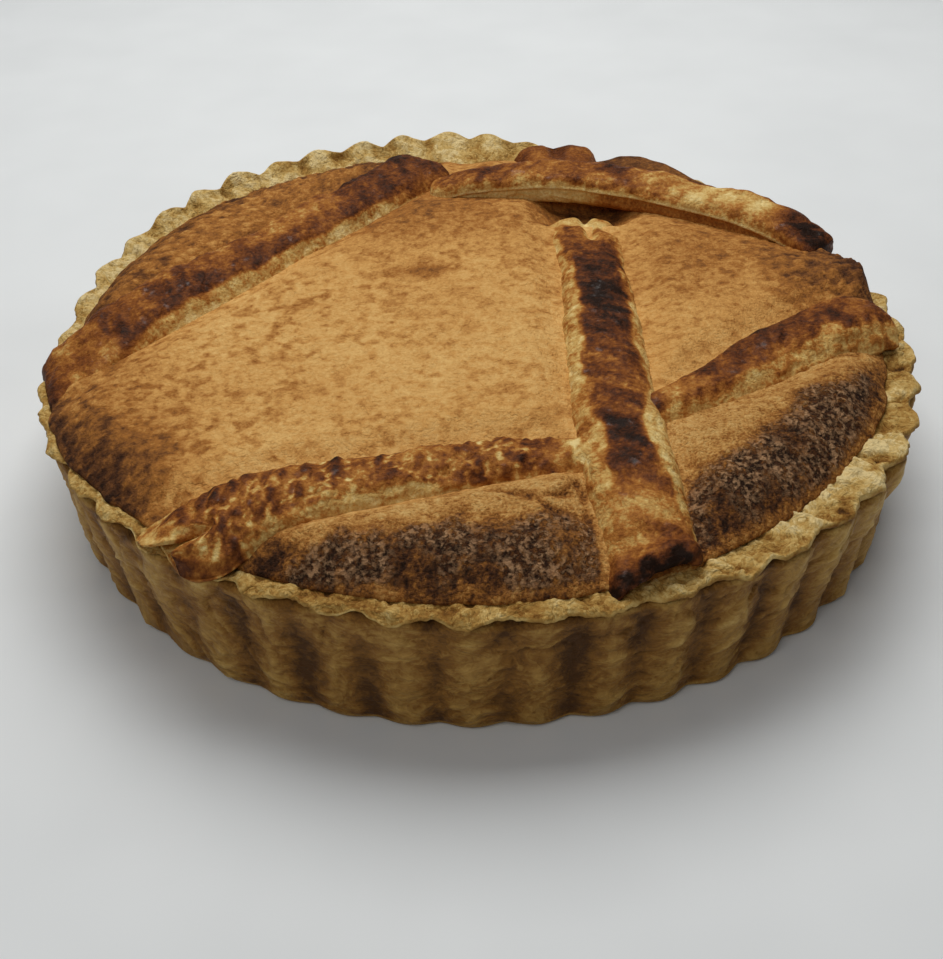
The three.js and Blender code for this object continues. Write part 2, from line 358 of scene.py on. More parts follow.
case_ring(0, 0, 0.5)
case_ring(0.5 * foot_radius, 0, 0.5)
foot_edge = wall_radius(azimuth, foot_rounding) + shallow
for lean in (0, 25, 50, 75):
    turn = math.radians(lean)
    case_ring(foot_edge - foot_rounding * (1 - math.sin(turn)), foot_rounding * (1 - math.cos(turn)), 0.5)
for share in np.linspace(0, 1, wall_rings):
    height = foot_rounding + share * (wall_top - foot_rounding)
    ring = compass * wall_radius(azimuth, height)[:, None]
    ring[:, 2] = height
    upper = 0.3 + 0.7 * smooth((share - 0.35) / 0.5)
    puff = 1.4 * (clouds(ring, 12, 21) - 0.5)
    dome, seam, tone = lobes(stirred(ring, 8, 10, 80) * (1, 1, 1.25), 17, 90)
    pad = upper * (1.3 * (dome - 0.65) + 1.3 * (tone - 0.5))
    crease = upper * np.exp(-((seam / 0.05) ** 2))
    swirl = clouds(stirred(ring, 10, 20, 22) * (0.7, 0.7, 1.8), 4.4, 25)
    swirl = swirl + 0.4 * clouds(stirred(ring, 5, 6, 26), 2, 29)
    pleat = np.abs(2 * swirl - 1.4)
    soften = 0.6 * share ** 2 * (1 - crown) + shallow
    # Painted shade and light: the wall is darkened at the front as painted shade, and raised folds are
    # paler while creases and flute valleys are darker, partly as painted light and shade and partly as real
    # browning.
    toast = 0.46 + bump(azimuth, -95, 35, 0.12) + 0.14 * (clouds(ring, 14, 30) - 0.5)
    toast = toast - 0.1 * (puff + pad) + 0.1 * crease - 0.24 * (pleat - 0.35)
    toast = toast + (0.16 + 0.28 * clouds(ring, 18, 33)) * (1 - crown)
    kneaded = puff + pad + 0.7 * (pleat - 0.35) - 0.25 * crease
    wall = wall_radius(azimuth, height) + kneaded * (1 - 0.4 * smooth((share - 0.85) / 0.15)) + soften
    case_ring(wall, height, toast, 0)
# The shoulder under the lip is darker in the flute valleys, partly as painted shade and partly as real
# browning.
for lean in (22, 45, 67, 90):
    turn = math.radians(lean)
    toast = 0.5 + 0.5 * (clouds(rim_line, 5, 27) - 0.5) + 0.3 * (1 - crown)
    shoulder = wall - (wall - tuck) * (1 - math.cos(turn))
    case_ring(shoulder, wall_top + (shoulder_height - wall_top) * math.sin(turn), toast)
# Painted shade: the recess under the lip is painted darkest, and the flake's underside and outer edge are
# darkened as painted shade.
case_ring(tuck - 0.3, 0.5 * (shoulder_height + tuck_top), 1)
case_ring(tuck + 0.2, tuck_top, 1)
case_ring(0.5 * (tuck + flake_edge), 0.5 * (tuck_top + flake_bottom), 0.9)
edge_toast_and_shade = 0.48 + 0.5 * (clouds(rim_line, 5, 45) - 0.5) + 0.5 * (clouds(rim_line, 1.6, 46) - 0.5)
case_ring(flake_edge - 0.35, flake_bottom, edge_toast_and_shade + 0.2)
case_ring(flake_edge, flake_bottom + 0.3 * flake_thick, edge_toast_and_shade)
case_ring(flake_edge - 0.12, flake_bottom + 0.65 * flake_thick, edge_toast_and_shade - 0.1)
# Painted light: the ledge is darkened at the front as painted shade and paled at the back as painted light.
front_shade_back_light = bump(azimuth, -112, 32, 0.22) - bump(azimuth, 125, 45, 0.2) - 0.04
sideways = np.stack([-compass[:, 1], compass[:, 0], 0 * azimuth], axis=-1)
for share in np.linspace(0, 1, ledge_rings):
    ledge = ledge_outer + share * (ledge_inner - ledge_outer)
    ring = compass * ledge[:, None]
    slope = lip_crest + share * (ledge_height(azimuth) - lip_crest)
    hang = np.exp(-((share / 0.1) ** 2))
    furrow = knobbly * (1 - crown) * np.exp(-((share / 0.55) ** 2))
    drag = rim_line + sideways * 5 * share
    drag[:, 2] = 3.5 * share
    drag = stirred(drag, 5, 3, 31)
    crumb, _, crumb_tone = lobes(stirred(ring, 2, 1.5, 41), 2.2, 44)
    tongue = clouds(drag, 6, 34) + 0.5 * clouds(drag, 2.6, 35) - 0.75
    crack = torn_side * np.maximum(0, 1 - np.abs(tongue) / 0.1)
    lumps = (0.5 + 1.6 * torn_side) * tongue + 0.5 * (clouds(drag, 1.5, 36) - 0.5)
    lumps = lumps + 0.5 * (clouds(ring, 1.2, 37) - 0.5)
    lumps = lumps + 0.5 * (crumb - 0.65) + 0.8 * (crumb_tone - 0.5) - 0.6 * crack
    lumps = lumps + knobbly * (clouds(ring, 5, 42) - 0.5 + 0.7 * (clouds(ring, 2.5, 43) - 0.5))
    lumps = np.maximum(lumps, -0.4 - 2 * share)
    scorch_band = np.exp(-(((share - 0.2) / 0.15) ** 2))
    scorch = torn_side * scorch_band * smooth((clouds(rim_line, 7, 47) - 0.55) / 0.15)
    # The ledge is darker in cracks, in the furrows between knobs and between lumps, and paler on raised
    # lumps, partly as painted shade and light and partly as real browning; the scorch marks are real.
    toast = 0.23 + front_shade_back_light + 0.4 * (clouds(ring, 6, 39) - 0.5)
    toast = toast + 0.5 * np.maximum(0, clouds(ring, 3, 40) - 0.6)
    toast = toast - 0.28 * lumps + 0.25 * crack + 0.3 * furrow
    toast = toast + 0.4 * scorch * (clouds(ring, 1.5, 48) + 0.3)
    height = slope * (1 - hang) + (flake_bottom + flake_thick) * hang - 1.5 * furrow * (1 - hang)
    height = height + lumps * smooth(share / 0.08)
    case_ring(ledge, height, toast, 1)
case_ring(ledge_inner - 1, ledge_height(azimuth) - 8, 0.5)
case_ring(inside_radius, inside_corner_height, 0.5)
case_ring(0, inside_floor_height, 0.5)

pastry_case = skin("baked_case", np.array(case_rings), {
    "toast": np.array(case_toast_and_shade),
    "crumbly": np.array(case_crumb),
})

shortcrust = Finish("baked shortcrust")
toast = shortcrust.mark("toast")
crumbly = shortcrust.mark("crumbly")
crumb = shortcrust.speckle(0.8, 4)
mottle = shortcrust.speckle(4.5, 3, (1, 1, 1.6))
layers = shortcrust.speckle(9, 1, (1, 1, 1.6), 1.2) * 8 % 1 * (1 - crumbly)
flakes = shortcrust.speckle(5, 3, (1, 1, 1), 0.8) * 6 % 1 * crumbly
# The layer and flake steps are darker at the foot of each step, as painted shade.
browning_and_shade = toast + 0.26 * (mottle - 0.5) + (0.25 + 0.35 * crumbly) * (crumb - 0.5)
browning_and_shade = browning_and_shade + 0.1 * layers + 0.22 * flakes
crust = (0.25 + 0.75 * crumbly) * crumb + 0.8 * mottle - 0.25 * layers - 0.5 * flakes
shortcrust_colour = shortcrust.ramp(browning_and_shade, [
    (0.0, paint(234, 210, 152)),
    (0.25, paint(210, 177, 108)),
    (0.5, paint(177, 137, 70)),
    (0.75, paint(134, 91, 36)),
    (1.0, paint(80, 50, 19)),
])
pastry_case.data.materials.append(shortcrust.finish({
    "Base Color": shortcrust_colour,
    "Roughness": 0.55 + 0.3 * crumbly,
    "Specular IOR Level": 0.15,
    "Normal": shortcrust.relief(crust, 0.9, 0.9),
}))
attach(pastry_case, "root")
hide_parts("pastry_case")


# Frangipane filling
# Almond cream that filled the case to the ledge and puffed up in pillows wherever no strip held it down.
# Its skin is a fine sugary crumb, golden in the middle and dark brown where it stood nearest the heat.
filling_level = 42.8
crown_rise = 1.8
pillow_rise = 2.6
pillow_width = 11
edge_roll = 13
lap_thickness = 1.3
filling_bottom = 16
filling_cells = 304
filling_side_rings = 7
strip_routes = {
    "strip_back_left": (
        [(-111.5, -25.5, 41.5), (-96, -6, 48), (-57, 41, 49), (-14.5, 95, 48.5)],
        [12, 10, 9.5, 11],
    ),
    "strip_long": (
        [(37, -108, 44), (35.5, -90, 48), (33.8, -46, 48.5), (34.5, 20, 48), (33, 66, 45), (29, 111, 45)],
        [10.5, 10, 10, 9.5, 11, 13],
    ),
    "strip_back_right": (
        [(-13, 79, 48), (32, 75, 52), (66, 61.5, 51), (92, 45, 49), (104, 32, 45.5)],
        [5.5, 8, 8.5, 8.5, 7],
    ),
    "strip_right": (
        [(40, -53, 46.5), (60, -40, 47.5), (78, -26, 48.5), (94, -15, 48), (109, -7.5, 45.5)],
        [6, 7, 8.5, 9.5, 10],
    ),
    "strip_front": (
        [(-68.5, -96.5, 44.8), (-52, -86, 49), (-18, -76, 49), (6, -70.5, 48), (29, -68, 46)],
        [12, 9.5, 8, 7.5, 6.5],
    ),
}


def strip_line(name, step):
    """Points about a step apart along the middle of a strip's top, the half width and the way travelled."""
    route, halves = strip_routes[name]
    route = np.array(route, dtype=float)
    gaps = np.linalg.norm(np.diff(route, axis=0), axis=1)
    knots = np.concatenate([[0], np.cumsum(gaps)])
    slopes = np.gradient(route, knots, axis=0)
    travel = np.linspace(0, knots[-1], int(knots[-1] / step) + 1)
    leg = np.clip(np.searchsorted(knots, travel, side="right") - 1, 0, len(gaps) - 1)
    span = gaps[leg][:, None]
    part = ((travel - knots[leg]) / gaps[leg])[:, None]
    line = (
        (1 + 2 * part) * (1 - part) ** 2 * route[leg]
        + part * (1 - part) ** 2 * span * slopes[leg]
        + part ** 2 * (3 - 2 * part) * route[leg + 1]
        - part ** 2 * (1 - part) * span * slopes[leg + 1]
    )
    return line, np.interp(travel, knots, halves), travel


def clear_of(name, x, y):
    """How far places in plan lie outside a strip's edge."""
    line, half, _ = strip_line(name, 2.5)
    nearest = np.full(x.shape, 999.0)
    for point, reach in zip(line, half):
        nearest = np.minimum(nearest, np.hypot(x - point[0], y - point[1]) - reach)
    return nearest


def blot(x, y, places):
    """Soft round marks at listed places in plan, each x, y, reach and amount."""
    total = 0
    for across, up, reach, amount in places:
        total = total + amount * np.exp(-(((x - across) ** 2 + (y - up) ** 2) / reach ** 2))
    return total


def ledge_surface(azimuth, radius):
    """Height of the ledge at a radius."""
    inner = inner_radius(azimuth)
    outer = rim_radius + out_of_round(azimuth)
    share = np.clip((radius - inner) / (outer - inner), 0, 1)
    return ledge_height(azimuth) + share * (crest_height(azimuth) - ledge_height(azimuth))


side = np.linspace(-1, 1, filling_cells + 1)
column, row = np.meshgrid(side, side)
wide = np.abs(column) >= np.abs(row)
direction = np.where(
    wide,
    45 * row / np.where(column == 0, 1, column) + 180 * (column < 0),
    90 - 45 * column / np.where(row == 0, 1, row) + 180 * (row < 0),
) % 360
ring = np.rint(np.maximum(np.abs(column), np.abs(row)) * filling_cells / 2)
top_rings = filling_cells / 2 - filling_side_rings
share = np.clip(ring / top_rings, 0, 1)
below = np.clip(ring - top_rings, 0, filling_side_rings).astype(int)
heading = np.stack([np.cos(np.radians(direction)), np.sin(np.radians(direction)), 0 * direction], axis=-1)
lap = 0.8 + bump(direction, 206, 16, 3.6) + bump(direction, 14, 13, 4.6)
filling_edge = inner_radius(direction) + lap + 1.4 * (clouds(heading * rim_radius, 5, 51) - 0.5)
radius = share * filling_edge
plan = heading * radius[..., None]
x = plan[..., 0]
y = plan[..., 1]

clearance = {name: clear_of(name, x, y) for name in strip_routes}
clear = np.minimum.reduce(list(clearance.values()))
from_edge = filling_edge - radius
front_side = smooth((-75.5 + 0.261 * x - y - 2) / 8) * smooth((30 - x) / 6)
right_side = smooth((-79.4 + 0.66 * x - y - 2) / 8) * smooth((x - 38) / 6)
back_side = smooth((y - 33 - 1.242 * (x + 63)) / 10)
behind_bridge = smooth((y - 74 + 0.0045 * (x - 20) ** 2) / 8) * smooth((x - 30) / 10)
wander = 6 * (clouds(plan, 13, 52) - 0.5) + 4 * (clouds(plan, 4.5, 53) - 0.5)
wander = wander + 2 * (clouds(plan, 1.8, 50) - 0.5)
gold_front = 1 + 3 * smooth((x + 58) / 12) + 6 * smooth((x + 30) / 35)
gold_right = 13.5 - 7 * smooth((x - 60) / 25)
rim_band = smooth((from_edge - 0.5 + 1.8 * smooth((-x - 32) / 10) + 0.2 * wander) / 2.5)
tip_fade = 5 + 6 * smooth((x + 64) / 14)
dark_front = front_side * smooth((clearance["strip_front"] - gold_front + 0.7 * wander) / tip_fade)
dark_front = dark_front * (0.4 + 0.6 * rim_band)
dark_front = dark_front * (0.8 + 0.2 * smooth((x + 66) / 10) - 0.26 * smooth(x / 20))
dark_front = dark_front * smooth((clearance["strip_long"] + 1) / 4)
dark_right = right_side * smooth((clearance["strip_right"] - gold_right + wander) / 12)
dark_right = dark_right * (0.3 + 0.7 * rim_band)
long_fade = 4 + 0.4 * np.maximum(from_edge - 20, 0)
dark_right = dark_right * smooth((clearance["strip_long"] + 2 + 0.5 * wander) / long_fade)
dark_back = back_side * (0.54 + 0.3 * smooth((13 - from_edge + 0.5 * wander) / 9))
dark_left = 0.3 * smooth((34 - from_edge + wander) / 30) + 0.5 * smooth((7 - from_edge) / 7)
dark_left = bump(direction, 212, 24, 1) * dark_left
dark_burnt = 0.7 * smooth((38 - from_edge + 1.5 * wander) / 24) + 0.3 * smooth((14 - from_edge) / 10)
dark_burnt = bump(direction, 9, 16, 1) * dark_burnt
char = np.maximum.reduce([dark_front, dark_right, dark_back, dark_left, dark_burnt, 0.8 * behind_bridge])
spots = blot(x + 0.4 * wander, y, [
    (-47, -101, 8, 0.32), (-83, -68, 12, 0.26), (-94, -56, 9, 0.16), (-13, 18, 5, 0.28), (-20, 17, 4, 0.14),
    (-70, -54, 24, 0.05), (0, 66, 28, 0.18), (-28, 56, 22, 0.13), (72, 24, 26, 0.14), (60, 48, 16, 0.1),
    (60, 4, 18, 0.08), (36, 53, 9, -0.2), (-20, -40, 30, -0.05), (14, -20, 16, -0.05),
    (-100, -30, 16, 0.12),
])

crumb_dome, _, crumb_tone = lobes(plan, 2.6, 60)
grain_dome, _, grain_tone = lobes(plan, 1.6, 70)
rough = np.maximum(front_side, right_side)
coarse = np.clip(0.15 + 0.4 * rough + char, 0, 1) * (1 - behind_bridge)
islands = clouds(stirred(plan, 4, 4, 61), 3, 54) + 0.8 * clouds(stirred(plan, 2, 2, 64), 1.5, 55)
speckle = 0.14 * smooth((islands - 0.8) / 0.5) + 0.1 * (clouds(plan, 1.1, 58) - 0.5) - 0.06
speckle = speckle * (0.6 + 0.8 * clouds(plan, 17, 65) + 0.6 * smooth((-x - 20) / 40))
bake = 0.32 + 0.45 * char + spots + speckle * (1 - 0.5 * char) + 0.1 * (clouds(plan, 22, 56) - 0.5)
# Crumb tops are paler and the gaps between crumbs darker, partly as painted light and shade; each crumb's
# own tone varies at random.
bake = bake - coarse * (0.16 * (crumb_tone - 0.45) + 0.2 * (grain_tone - 0.5) + 0.2 * (crumb_dome - 0.7))
bake = bake + 0.12 * smooth((5 - from_edge) / 4) * (1 - char)
crumble = coarse * (0.8 * crumb_dome * (0.4 + crumb_tone) + 0.5 * grain_dome * grain_tone - 0.6)
crumble = crumble + 0.2 * (clouds(plan, 1.7, 59) - 0.5)
crack_width = 0.8
crack_lines = [
    ((2, -84), (12, -88)),
    ((12, -88), (17, -93)),
    ((12, -88), (20, -85)),
    ((22, -80), (24, -95)),
]
crack = 0
for start, end in crack_lines:
    leg = np.subtract(end, start)
    along = np.clip(((x - start[0]) * leg[0] + (y - start[1]) * leg[1]) / (leg @ leg), 0, 1)
    gap = np.hypot(x - start[0] - along * leg[0], y - start[1] - along * leg[1])
    gap = gap + 1.5 * (clouds(plan, 3, 60) - 0.5)
    crack = np.maximum(crack, np.exp(-((gap / crack_width) ** 2)))

edge_height = ledge_surface(direction, filling_edge) + lap_thickness
puffed = np.maximum(bump(direction, 9, 10, 1), bump(direction, 58, 12, 0.9))
swell = 1.6 * puffed * smooth((share - 0.6) / 0.3)
pit = 6 * smooth((y - 48) / 9) * np.exp(-(((x - 36) / 14) ** 4)) * smooth((76 - y) / 6)
level = filling_level + crown_rise * (1 - share ** 2) + pillow_rise * smooth(clear / pillow_width)
level = level + swell - pit + 1.2 * rough * smooth(clear / 12)
beside_front = np.exp(-((clearance["strip_front"] / 7) ** 2))
level = level + 2.6 * front_side * beside_front * smooth(clearance["strip_long"] / 8)
roll = np.sin(np.minimum(from_edge / (edge_roll - 9.5 * puffed), 1) * math.pi / 2)
height = edge_height + (level - edge_height) * roll + crumble * smooth(from_edge / 3) - 0.9 * crack
inset = np.array((0, -0.3, 0.2, 1.2, 6, 12, 60, 999))[below]
sink = np.array((0, 0.6, 1.3, 2.2, 8, 20, 24, 0))[below]
radius = np.maximum(radius - inset, 0)
filling_places = heading * radius[..., None]
filling_places[..., 2] = np.where(below == filling_side_rings, filling_bottom, height - sink)
dusting = smooth((clouds(plan, 9, 57) + 0.4 * clouds(plan, 4, 67) - 0.47) / 0.35)
# The skin's colour is darkened in the pit under the back right strip and along the cracks, as painted
# shade.
filling = skin("baked_filling", filling_places, {
    "bake": np.clip(bake + 0.3 * crack + 0.06 * pit, 0, 1.2),
    "sugary": rough * smooth((char - 0.3) / 0.4) * dusting,
    "rough": rough,
})

almond = Finish("baked almond cream")
bake = almond.mark("bake")
sugary = almond.mark("sugary")
rough = almond.mark("rough")
sugar = almond.speckle(0.8, 4)
grit = almond.speckle(2.2, 3)
where = almond.node("ShaderNodeTexCoord", {}, {}, "Object")
drift_noise = {"Vector": where, "Scale": 1 / (1.5 * MM), "Detail": 3}
drift = almond.node("ShaderNodeTexNoise", {}, drift_noise, "Color")
drift = almond.node("ShaderNodeVectorMath", {"operation": "SCALE"}, {0: drift, "Scale": 1.4 * MM})
where = almond.node("ShaderNodeVectorMath", {"operation": "ADD"}, {0: where, 1: drift})
grain = almond.node("ShaderNodeTexVoronoi", {}, {"Vector": where, "Scale": 1 / (1.2 * MM)}, "Color")
grain = almond.spread(grain, 0.1, 0.9)
clump = almond.spread(almond.speckle(1.4, 5), 0.44, 0.55)
flake = clump * (0.3 + 0.7 * grain) * sugary
further = almond.node("ShaderNodeVectorMath", {"operation": "ADD"}, {0: where, 1: drift})
crackle = almond.node("ShaderNodeTexVoronoi", {"feature": "DISTANCE_TO_EDGE"}, {
    "Vector": further,
    "Scale": 1 / (3 * MM),
})
crackle = almond.spread(crackle, 0, 0.16, 1, 0) * almond.spread(grit, 0.42, 0.62)
# The fine crackle lines and the gaps between the pale sugary flakes are darkened as painted shade.
browning_and_shade = bake + 0.2 * (grit - 0.5) + (0.4 + 0.5 * rough) * (sugar - 0.5)
browning_and_shade = browning_and_shade + 0.06 * crackle + 0.08 * sugary * (1 - clump)
almond_colour = almond.ramp(browning_and_shade, [
    (0.0, paint(242, 202, 130)),
    (0.3, paint(211, 157, 87)),
    (0.5, paint(168, 110, 50)),
    (0.7, paint(112, 70, 36)),
    (0.85, paint(74, 45, 27)),
    (1.0, paint(46, 29, 19)),
])
almond_colour = almond.blend(0.9 * flake, almond_colour, paint(196, 153, 112))
filling.data.materials.append(almond.finish({
    "Base Color": almond_colour,
    "Roughness": 0.78,
    "Specular IOR Level": 0.1,
    "Normal": almond.relief((0.8 + rough) * sugar + 0.6 * grit + 1.8 * flake - 0.25 * crackle, 0.8, 1),
}))
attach(filling, "root")
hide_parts("frangipane_filling")


# Strip at the back left
# A ribbon of flaky pastry cut with a knife, brushed with egg and laid straight over the filling.
# Its cut side towards the middle stays pale; its near end is folded over the rim and baked glossy.
strip_thickness = 10
strip_step = 0.5
strip_columns = 112
nose_length = 3


def ribbon_section(corner):
    """Across and down, in half widths and thicknesses, round a strip from the middle of its underside.
    A corner of 0.5 is square-shouldered and 1 is round."""
    turn = np.radians(np.linspace(-90, 270, 1441))
    power = np.where(np.sin(turn) > 0, corner, 0.5)
    across = -np.sign(np.cos(turn)) * np.abs(np.cos(turn)) ** power
    down = 0.5 - 0.5 * np.sign(np.sin(turn)) * np.abs(np.sin(turn)) ** power
    pace = np.hypot(np.diff(across * 9), np.diff(down * strip_thickness)) * np.where(down[1:] > 0.8, 0.3, 1)
    travel = np.concatenate([[0], np.cumsum(pace)])
    wanted = np.linspace(0, travel[-1], strip_columns + 1)
    return np.interp(wanted, travel, across), np.interp(wanted, travel, down)


def ribbon(
    name, seed, corner, splay, glaze, mottle, flecks, cream, pale_edges, soft, torn, burns, slant, ridges,
    grain=1, hollow=0, form=None,
):
    """One strip: a rounded slab along its route with flaky sides, wrinkled top and its own browning.
    splay is how far its left and right sides lean outwards; pale_edges gives, from start to end, the share
    of the half width that stays pale on the left and on the right, soft and torn how gradual and uneven its
    border is; mottle is how strong its dark spots are, flecks its pale ones and cream how brown its pale
    parts are; slant is how much its wrinkles lean, ridges how high they stand, grain how coarse its spots
    and wrinkles are and hollow how deep its near end is open. form is a function that shapes the ends."""
    line, half, travel = strip_line(name, strip_step)
    across, down = ribbon_section(corner)
    ahead = np.gradient(line[:, :2], axis=0)
    ahead = ahead / np.linalg.norm(ahead, axis=1)[:, None]
    right = np.stack([ahead[:, 1], -ahead[:, 0], 0 * ahead[:, 0]], axis=-1)
    near = np.clip(travel / nose_length, 0, 1)
    far = np.clip((travel[-1] - travel) / nose_length, 0, 1)
    nose = np.sqrt(1 - (1 - far) ** 2) * np.sqrt(1 - (0.5 if hollow else 1) * (1 - near) ** 2)
    ground = line * (1, 1, 0)
    sway = 1 + 0.14 * (clouds(ground, 12, seed) - 0.5) + 0.06 * (clouds(ground, 4, seed + 1) - 0.5)
    width = (half * sway * (0.6 + 0.4 * nose))[:, None]
    body = strip_thickness * nose[:, None]
    depth = down * body + 0.2 * (strip_thickness - body)
    lean = np.where(across < 0, splay[0], splay[1]) * across * np.abs(across) * (np.minimum(depth, 7) - 3)
    places = line[:, None, :] + right[:, None, :] * (width * across + lean)[..., None]
    places[..., 2] -= depth
    flow = np.broadcast_to(travel[:, None], depth.shape)
    lateral = across * half[:, None]
    strand = np.stack([flow, lateral, depth], axis=-1)
    skew = np.stack([flow + slant * lateral, lateral * 0.35, depth * 0.3], axis=-1)

    top = smooth((0.34 - down) / 0.22) * np.ones_like(depth)
    side = (1 - top) * smooth((0.97 - down) / 0.1)
    blister = 1.2 * (clouds(strand, 8, seed + 2) - 0.5) + 0.7 * (clouds(strand, 3, seed + 3) - 0.5)
    fold = np.abs(2 * clouds(skew, 4.2 * grain, seed + 4) - 1)
    terrace = 4 * clouds(skew * (0.6, 1.6, 1), 5, seed + 10)
    terrace = np.floor(terrace) + smooth((terrace % 1) / 0.3)
    fray = clouds(stirred(strand, 4, 3, seed + 16) * (0.5, 1, 2), 2.2, seed + 6) - 0.5
    pucker = np.abs(2 * clouds(skew * (1, 2, 1), 2, seed + 14) - 1)
    wrinkle = fold + 0.5 * pucker - 0.6
    lift = top * (blister + ridges * wrinkle + 0.25 * (terrace - 2))
    lift = lift + (0.2 + 1.6 * torn) * side * fray
    normal = np.cross(np.gradient(places, axis=0), np.gradient(places, axis=1))
    normal = normal / np.maximum(np.linalg.norm(normal, axis=-1), 1e-9)[..., None]
    normal = normal * np.sign(np.sum(normal[:, strip_columns // 2, 2]))
    places = places + normal * (lift * nose[:, None])[..., None]
    x = places[..., 0]
    y = places[..., 1]

    patchy = clouds(strand, 6 * grain, seed + 7) + 0.9 * clouds(skew, 2.6 * grain, seed + 8)
    patchy = patchy + 0.5 * clouds(strand, 1.3, seed + 11) - 1.2
    patchy = patchy + 0.3 * smooth((patchy + 0.1) / 0.2) - 0.15
    fleck = clouds(skew * (1, 3, 1), 1.4, seed + 19) + 0.4 * clouds(strand, 5, seed + 20)
    fleck = smooth((fleck - 0.85) / 0.16)
    bake = glaze + mottle * patchy + 0.4 * ridges * wrinkle - flecks * fleck + blot(x, y, burns)
    part = travel / travel[-1]
    left_edge = np.interp(part, np.linspace(0, 1, len(pale_edges[0])), pale_edges[0])[:, None]
    right_edge = np.interp(part, np.linspace(0, 1, len(pale_edges[1])), pale_edges[1])[:, None]
    margin = np.where(across < 0, left_edge, right_edge)
    ragged_edge = clouds(skew * (1, 2, 1), 3, seed + 9) + clouds(strand * (0.2, 1.4, 1), 2, seed + 15) - 1
    pale = smooth((np.abs(across) - 1 + margin + torn * ragged_edge) / soft)
    glazed_to = 1.6 + 12 * np.maximum(0.25 - margin, 0)
    pale = np.maximum(pale, smooth((depth - glazed_to + 5 * torn * fray) / 1.2)) * smooth(margin / 0.06)
    streak = clouds(skew * (1.4, 1, 1), 1.1, seed + 12) - 0.5
    bake = bake * (1 - pale) + pale * (cream + 0.3 * fray + 0.2 * streak + 0.15 * patchy)
    marks = {"bake": np.clip(bake, 0, 1.2), "shine": np.clip((1 - pale) * np.clip(bake, 0, 1), 0, 1)}
    if form:
        form(places, marks, flow, lateral, depth)
    if hollow:
        inside = np.linspace(0, 1, 10)[:, None, None]
        mouth = places[0]
        middle = mouth.mean(axis=0) + (0, 0, 1)
        inward = np.append(ahead[0], 0) * hollow
        squeeze = np.array((0.3, 0.3, 0.12)) + np.array((0.52, 0.52, 0.42)) * inside ** 0.5
        tube = middle + (mouth - middle) * squeeze + inward * (1 - inside) ** 1.5
        crumb_tone = 0.32 + 0.3 * (clouds(tube, 2.5, seed + 13) - 0.5)
        crumb_tone = crumb_tone + (marks["bake"][0] - crumb_tone) * inside[..., 0] ** 4
        places = np.concatenate([tube, places])
        marks = {
            "bake": np.concatenate([crumb_tone, marks["bake"]]),
            "shine": np.concatenate([0 * crumb_tone, marks["shine"]]),
        }
    places[0] = places[0].mean(axis=0)
    places[-1] = places[-1].mean(axis=0)
    piece = skin(name + "_baked", places, marks)
    piece.data.materials.append(glazed_pastry)
    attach(piece, "root")
    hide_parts(name)


flaky = Finish("egg glazed flaky pastry")
bake = flaky.mark("bake")
shine = flaky.mark("shine")
crumb = flaky.speckle(0.9, 4)
patch = flaky.speckle(3.5, 3)
glint = flaky.spread(flaky.speckle(4, 2), 0.6, 0.75)
browning_and_shade = bake + 0.3 * (patch - 0.5) + 0.6 * (crumb - 0.5)
flaky_colour = flaky.ramp(browning_and_shade, [
    (0.0, paint(238, 213, 148)),
    (0.2, paint(213, 175, 103)),
    (0.4, paint(178, 117, 53)),
    (0.58, paint(136, 79, 34)),
    (0.75, paint(96, 52, 27)),
    (0.9, paint(62, 35, 21)),
    (1.0, paint(38, 23, 15)),
])
glazed_pastry = flaky.finish({
    "Base Color": flaky_colour,
    "Roughness": 0.7 - 0.2 * shine,
    "Coat Weight": shine * (0.04 + 0.5 * glint),
    "Coat Roughness": 0.2,
    "Specular IOR Level": 0.05,
    "Normal": flaky.relief(crumb + 0.8 * patch, 0.8, 0.9),
})


def rebake(marks, share, tone):
    """Brings the browning of a strip to a tone where the share is 1."""
    marks["bake"][:] = marks["bake"] * (1 - share) + tone * share


def folded_end(places, marks, flow, lateral, depth):
    """Slants the near end along the rim, bends it down over it and browns it right across."""
    end = smooth((9 - flow) / 9)
    slide = (0.5 * lateral + 2.5) * smooth((14 - flow) / 14)
    places[..., 0] -= 0.63 * slide
    places[..., 1] -= 0.78 * slide
    places[..., 2] -= 2.2 * end * smooth((8 - depth) / 4)
    glossy = smooth((20 - flow + 6 * clouds(places, 5, 120)) / 8)
    tone = 0.5 + 0.35 * (clouds(places, 5, 121) - 0.5) + 0.3 * (clouds(places, 1.8, 122) - 0.5) + 0.25 * end
    rebake(marks, glossy, tone)
    marks["shine"][:] = np.maximum(marks["shine"], 0.6 * glossy)


ribbon(
    "strip_back_left", seed=100, corner=0.5, splay=(0.1, 0.7),
    glaze=0.68, mottle=0.2, flecks=0.1, cream=0.21,
    pale_edges=([0, 0, 0.08, 0.08, 0.08, 0], [0, 0.1, 0.12, 0.12, 0.1, 0]), soft=0.12, torn=0.07,
    burns=[
        (-81, 6, 8, 0.16), (-65, 26, 7, 0.16), (-98, -14, 8, 0.1), (-37, 80, 10, 0.2), (-22, 92, 10, 0.2),
        (-62, 45, 9, -0.26), (-75, 30, 8, -0.24), (-50, 60, 9, -0.22), (-88, 14, 7, -0.16),
    ],
    slant=0.5, ridges=0.35, form=folded_end,
)


